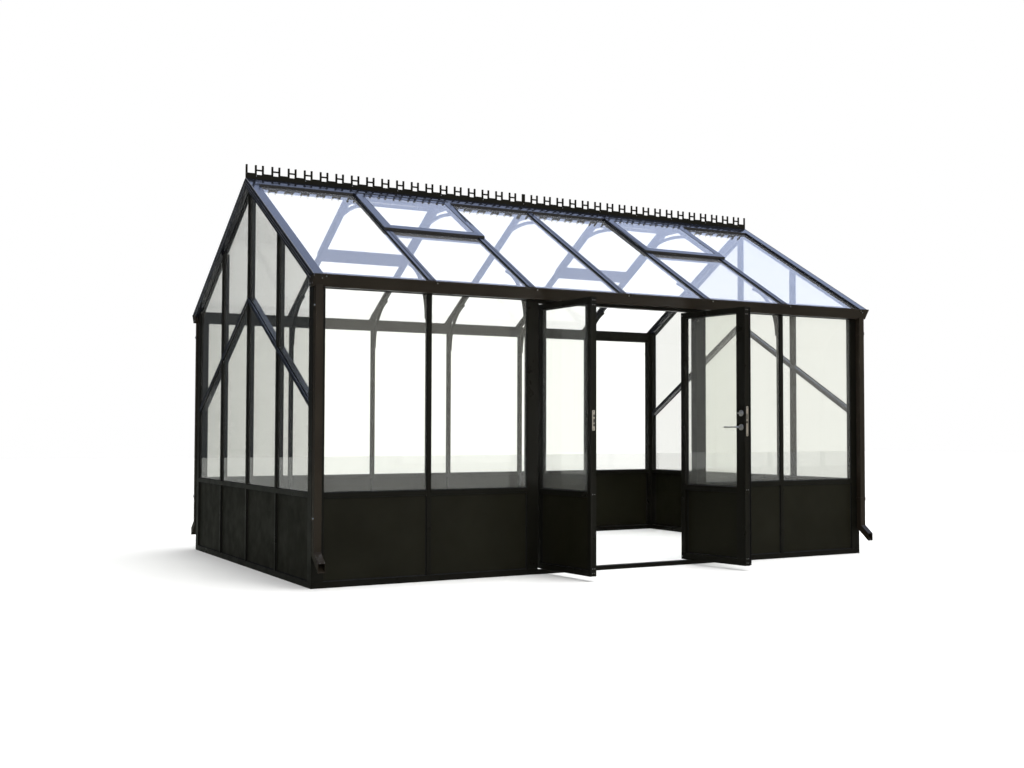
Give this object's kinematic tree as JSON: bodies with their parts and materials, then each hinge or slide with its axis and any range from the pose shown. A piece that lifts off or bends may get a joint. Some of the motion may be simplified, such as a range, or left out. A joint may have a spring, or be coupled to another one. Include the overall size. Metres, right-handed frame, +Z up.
{
  "type": "greenhouse",
  "caption": "Gabled glass greenhouse with low solid wall panels, outward opening double doors, roof vents, gutters with downpipes and a decorative ridge cresting.",
  "frame": {"origin": "underside of the base on the outer face of the door wall, midway between the two doors", "axes": "+X along the door wall to the right as seen from outside, +Y into the house, +Z up"},
  "size_m": [4.624, 3.8191, 2.9708],
  "materials": {
    "wall_frame": "satin black powder coat",
    "roof_frame": "satin black powder coat",
    "rainware": "satin black powder coat",
    "panels": "fine matt black powder coat",
    "glass": "clear",
    "fittings": "satin steel"
  },
  "bodies": {
    "house": {"base_rails": "wall_frame", "threshold": "wall_frame", "corner_posts": "wall_frame", "front_mullions": "wall_frame", "back_mullions": "wall_frame", "left_gable_mullions": "wall_frame", "right_gable_mullions": "wall_frame", "door_jambs": "wall_frame", "door_header": "wall_frame", "mid_rails": "wall_frame", "front_panels": "panels", "back_panels": "panels", "left_gable_panels": "panels", "right_gable_panels": "panels", "front_glass": "glass", "back_glass": "glass", "left_gable_glass": "glass", "right_gable_glass": "glass", "eave_beams": "wall_frame", "front_gutter": "rainware", "back_gutter": "rainware", "front_rafters": "roof_frame", "back_rafters": "roof_frame", "left_end_rafters": "roof_frame", "right_end_rafters": "roof_frame", "ridge_beam": "roof_frame", "left_cresting": "roof_frame", "right_cresting": "roof_frame", "front_roof_glass": "glass", "back_roof_glass": "glass", "vent_crossbars": "roof_frame", "roof_vent_frames": "roof_frame", "roof_vent_glass": "glass", "ridge_gussets": "roof_frame", "arch_braces": "roof_frame", "knee_braces": "wall_frame", "gable_braces": "roof_frame", "downpipes": "rainware", "pipe_brackets": "rainware"},
    "left_door": {"left_door_frame": "wall_frame", "left_door_panel": "panels", "left_door_glass": "glass", "strike_plate": "fittings"},
    "right_door": {"right_door_frame": "wall_frame", "right_door_panel": "panels", "right_door_glass": "glass", "lock_case": "fittings"},
    "turn": {"thumb_turn": "fittings"},
    "lever": {"lever_handle": "fittings"}
  },
  "joints": [
    {"name": "left_door_hinge", "type": "hinge", "parent": "house", "child": "left_door", "pos_m": [-0.612, 0.025, 0], "axis": [0, 0, 1], "range_deg": [-24, 86]},
    {"name": "right_door_hinge", "type": "hinge", "parent": "house", "child": "right_door", "pos_m": [0.612, 0.025, 0], "axis": [0, 0, 1], "range_deg": [-99, 11]},
    {"name": "thumb_turn_hinge", "type": "hinge", "parent": "right_door", "child": "turn", "pos_m": [0.70132, -0.53897, 1.12], "axis": [-0.9877, -0.1564, 0], "range_deg": [0, 90]},
    {"name": "lever_hinge", "type": "hinge", "parent": "right_door", "child": "lever", "pos_m": [0.70132, -0.53897, 1.02], "axis": [-0.9877, -0.1564, 0], "range_deg": [0, 40], "stiffness_Nm_per_rad": 0.6}
  ]
}
